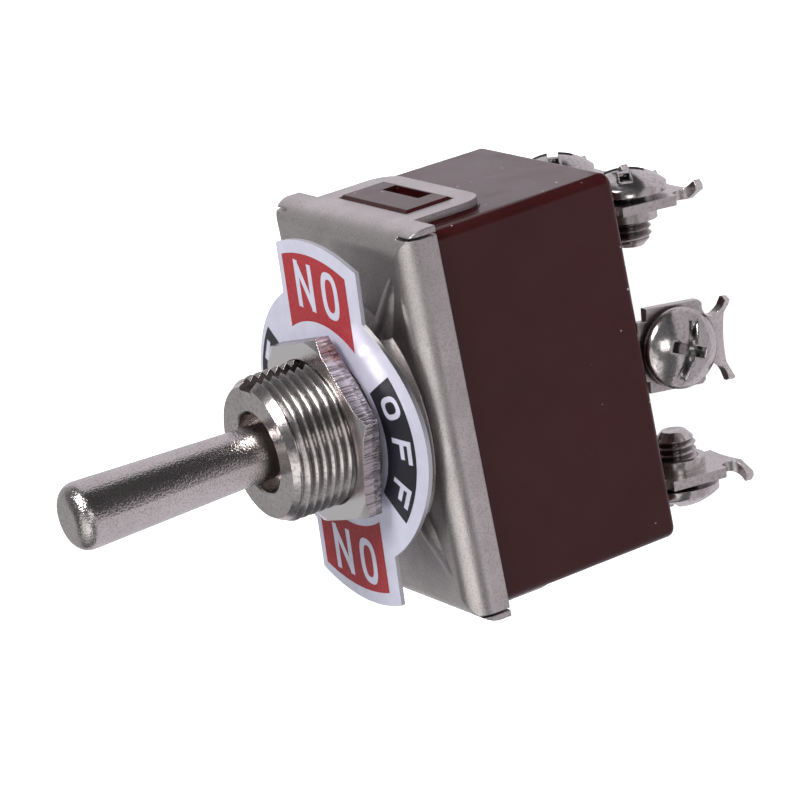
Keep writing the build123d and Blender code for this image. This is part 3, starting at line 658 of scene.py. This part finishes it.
def make_screw(node_name, joint, material):
    """Terminal screw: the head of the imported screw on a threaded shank."""
    axis = Vector(joint["axis"])
    place = Vector(joint["pos_m"])
    bm = bmesh.new()
    bm.from_mesh(frame["nodes"][node_name].data)
    below = [v for v in bm.verts if (v.co - place).dot(axis) < SCREW_HEAD_CUT]
    bmesh.ops.delete(bm, geom=below, context="VERTS")
    bmesh.ops.remove_doubles(bm, verts=bm.verts, dist=WELD)
    head = set(bm.verts)
    thread_rows(bm, SCREW_COLUMNS, -SCREW_LENGTH, SCREW_HEAD_LIFT, SCREW_PITCH, screw_point)
    end_radius = SCREW_RADIUS - SCREW_THREAD_DEPTH - SCREW_POINT
    end_ring = round_ring(SCREW_COLUMNS, end_radius, -SCREW_LENGTH)
    bm.faces.new([bm.verts.new(end_ring(column)) for column in range(SCREW_COLUMNS)])
    shank = [v for v in bm.verts if v not in head]
    stand = Matrix.Translation(place) @ axis.to_track_quat("Z", "Y").to_matrix().to_4x4()
    bmesh.ops.transform(bm, matrix=stand, verts=shank)
    bmesh.ops.remove_doubles(bm, verts=shank, dist=WELD)
    bmesh.ops.recalc_face_normals(bm, faces=bm.faces)
    piece = new_piece(f"{node_name}_threaded", bm, material, joint["child"])
    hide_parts(node_name)


def legend_surface():
    """Function that lifts a point of the print's plan onto the legend plate."""
    mesh = frame["nodes"]["legend_plate"].data
    corners = [vertex.co for vertex in mesh.vertices]
    faces = [face.vertices for face in mesh.polygons]
    tree = BVHTree.FromPolygons(corners, faces)
    turn = Matrix.Rotation(math.radians(LEGEND_TURN_DEG), 3, "Z")
    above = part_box("legend_plate")[1].z + MM

    def lifted(x, y, lift):
        plan = turn @ Vector((x + PRINT_CENTRE[0], y + PRINT_CENTRE[1], 0))
        hit, normal, _, _ = tree.ray_cast(Vector((plan.x, plan.y, above)), Vector((0, 0, -1)))
        return hit + normal * lift
    return lifted


def add_grid(bm, across, along, point):
    """Sheet of faces over a grid. point(u, v) takes shares from 0 to 1."""
    rows = []
    for j in range(along + 1):
        rows.append([bm.verts.new(point(i / across, j / along)) for i in range(across + 1)])
    for low, high in zip(rows, rows[1:]):
        for i in range(across):
            bm.faces.new((low[i], low[i + 1], high[i + 1], high[i]))


def red_field(lifted, end):
    """Red field of one lobe, between two arcs."""
    def point(u, v):
        x = FIELD_HALF_WIDTH * (2 * u - 1)
        radius = FIELD_INNER_RADIUS + v * (FIELD_OUTER_RADIUS - FIELD_INNER_RADIUS)
        return lifted(end * x, end * math.sqrt(radius**2 - x**2), PRINT_LIFT)
    bm = bmesh.new()
    add_grid(bm, *FIELD_GRID, point)
    return bm


def black_band(lifted, side):
    """Black band beside the nut, between two arcs and two radial ends."""
    def point(u, v):
        angle = math.radians(BAND_HALF_ANGLE * (1 - 2 * u))
        radius = BAND_INNER_RADIUS + v * (BAND_OUTER_RADIUS - BAND_INNER_RADIUS)
        x = side * (radius * math.cos(angle) + BAND_SHIFT)
        return lifted(x, side * radius * math.sin(angle), PRINT_LIFT)
    bm = bmesh.new()
    add_grid(bm, *BAND_GRID, point)
    return bm


def add_stroke(bm, lifted, place, start, end, width, layer=0):
    """Straight stroke of a letter between two points of the letter's own plane."""
    a = Vector(start)
    b = Vector(end)
    aside = Vector((-(b - a).y, (b - a).x)).normalized() * width / 2

    def point(u, v):
        spot = a + (b - a) * u + aside * (2 * v - 1)
        return lifted(*place(spot.x, spot.y), LETTER_LIFT + layer * STROKE_LIFT)
    add_grid(bm, STROKE_STEPS, 1, point)


def add_oval(bm, lifted, place, half_width, half_height, width):
    """Ring of the letter O, with straight sides and round ends."""
    middle = Vector((half_width - width / 2, half_height - width / 2))

    def point(u, v):
        turn = 2 * math.pi * u
        x = math.copysign(abs(math.cos(turn)) ** OVAL_POWER, math.cos(turn))
        y = math.copysign(abs(math.sin(turn)) ** OVAL_POWER, math.sin(turn))
        grow = width * (v - 0.5)
        spot = (x * (middle.x + grow), y * (middle.y + grow))
        return lifted(*place(*spot), LETTER_LIFT)
    add_grid(bm, OVAL_STEPS, 1, point)


def add_big_word(bm, lifted, end):
    """The letters of one red field, which stand on their heads in the photograph."""
    half = LETTER_HEIGHT / 2
    centre = end * (LETTER_FOOT + half)

    def at(offset):
        return lambda x, y: (x + offset, y + centre)
    letter = at(0)
    for stem in (N_LEFT, N_RIGHT):
        add_stroke(bm, lifted, letter, (stem, half), (stem, -half), STROKE)
    reach = half - STROKE / 2
    add_stroke(bm, lifted, letter, (N_LEFT, reach), (N_RIGHT, -reach), STROKE, 1)
    add_oval(bm, lifted, at(O_MIDDLE), O_HALF_WIDTH, half, STROKE)


def add_small_word(bm, lifted, side):
    """The three letters of one black band, with their tops outward."""
    def at(angle_deg):
        turn = math.radians(angle_deg)
        out = Vector((math.cos(turn), math.sin(turn)))
        along = Vector((math.sin(turn), -math.cos(turn)))

        def place(x, y):
            spot = out * (SMALL_LETTER_RADIUS + y) + along * x
            return (side * (spot.x + BAND_SHIFT), side * spot.y)
        return place
    half = SMALL_HALF_HEIGHT
    top = half - SMALL_STROKE / 2
    add_oval(bm, lifted, at(SMALL_O_ANGLE), SMALL_O_HALF_WIDTH, half, SMALL_STROKE)
    for angle in F_ANGLES:
        letter = at(angle)
        add_stroke(bm, lifted, letter, (F_STEM, -half), (F_STEM, half), SMALL_STROKE)
        for arm, height in ((F_TOP_ARM, top), (F_MIDDLE_ARM, 0)):
            add_stroke(bm, lifted, letter, (F_STEM, height), (arm, height), SMALL_STROKE, 1)


def make_legend(materials):
    """Red fields, black bands and the letters left bare in them."""
    lifted = legend_surface()
    letters = bmesh.new()
    for name, sign in (("plus", 1), ("minus", -1)):
        field = red_field(lifted, sign)
        new_piece(f"red_field_{name}_y", field, materials["red_print"], "base")
        band = black_band(lifted, sign)
        new_piece(f"black_band_{name}_x", band, materials["black_print"], "base")
        add_big_word(letters, lifted, sign)
        add_small_word(letters, lifted, sign)
    new_piece("legend_letters", letters, materials["legend_aluminium"], "base")


def dress_nodes(materials):
    """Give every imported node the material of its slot, and the nut its own."""
    for part in frame["record"]["subparts"]:
        node = frame["nodes"][part["node"]]
        slot = part["material_slot"]
        if part["node"] == "panel_nut":
            slot = "nut_nickel"
        node.data.materials.clear()
        node.data.materials.append(materials[slot])


def make_camera():
    """Camera at the photograph's viewing angle."""
    data = bpy.data.cameras.new("camera")
    data.lens = CAMERA_LENS
    data.sensor_width = CAMERA_SENSOR
    data.sensor_fit = "HORIZONTAL"
    data.clip_start = CAMERA_CLIP
    camera = bpy.data.objects.new("camera", data)
    camera.location = CAMERA_PLACE
    camera.rotation_euler = [math.radians(angle) for angle in CAMERA_TURN_DEG]
    bpy.context.scene.collection.objects.link(camera)
    bpy.context.scene.camera = camera


def soft_light(name, direction, distance, size, power):
    """Area light of a width and height that shines on the origin from a direction."""
    data = bpy.data.lights.new(name, "AREA")
    data.shape = "RECTANGLE"
    data.size, data.size_y = size
    data.energy = power
    light = bpy.data.objects.new(name, data)
    towards = Vector(direction).normalized()
    light.location = towards * distance
    light.rotation_euler = towards.to_track_quat("Z", "Y").to_euler()
    bpy.context.scene.collection.objects.link(light)


def make_floor():
    """Pale floor under the terminal tips."""
    bm = bmesh.new()
    bmesh.ops.create_grid(bm, x_segments=1, y_segments=1, size=FLOOR_HALF)
    pale = glowing_surface("floor_white", (0.9, 0.9, 0.9), 0.6, (1, 1, 1), FLOOR_GLOW)
    floor = add_object("floor", bm, pale)
    floor.location.z = cad_low.z


def make_backdrop():
    """White wall round the floor that only the camera sees, for views from low down."""
    bm = bmesh.new()
    heights = (cad_low.z, cad_low.z + BACKDROP_HEIGHT)
    rings = [round_ring(BACKDROP_COLUMNS, BACKDROP_RADIUS, height) for height in heights]
    ring_rows(bm, BACKDROP_COLUMNS, rings)
    white = glowing_surface("backdrop_white", (0, 0, 0), 1.0, (1, 1, 1), 1.0)
    backdrop = add_object("backdrop", bm, white)
    backdrop.visible_glossy = False
    backdrop.visible_diffuse = False
    backdrop.visible_shadow = False


def reflection_card(name, lift, x_low, x_high, y_low, y_high, grey):
    """Level card just above the floor that only reflections see, with a faint purple tint."""
    bm = bmesh.new()
    z = cad_low.z + lift
    corners = [(x_low, y_low, z), (x_high, y_low, z), (x_high, y_high, z), (x_low, y_high, z)]
    bm.faces.new([bm.verts.new(corner) for corner in corners])
    tint = tuple(grey * part for part in CARD_TINT)
    card = add_object(name, bm, glowing_surface(name, (0, 0, 0), 1.0, tint, 1.0))
    card.visible_camera = False
    card.visible_diffuse = False
    card.visible_shadow = False


def make_world():
    """Even pale surroundings."""
    world = bpy.data.worlds.new("studio")
    world.use_nodes = True
    background = world.node_tree.nodes["Background"]
    background.inputs["Color"].default_value = (*SURROUNDINGS_COLOUR, 1)
    background.inputs["Strength"].default_value = SURROUNDINGS_STRENGTH
    bpy.context.scene.world = world


def make_studio():
    """Camera, surroundings, floor, wall, cards and lights."""
    make_camera()
    make_world()
    make_floor()
    make_backdrop()
    for card in REFLECTION_CARDS:
        reflection_card(*card)
    for light in SOFT_LIGHTS:
        soft_light(*light)


def main():
    """Studio, materials, threads and print."""
    bpy.context.scene.view_settings.view_transform = "Standard"
    make_studio()
    materials = make_materials()
    dress_nodes(materials)
    make_bushing(materials["bushing_nickel"])
    for joint in frame["joints"]:
        if joint["name"].startswith("screw_turn_"):
            node_name = joint["child"].removesuffix("_body")
            make_screw(node_name, joint, materials["screw_nickel"])
    make_legend(materials)


main()
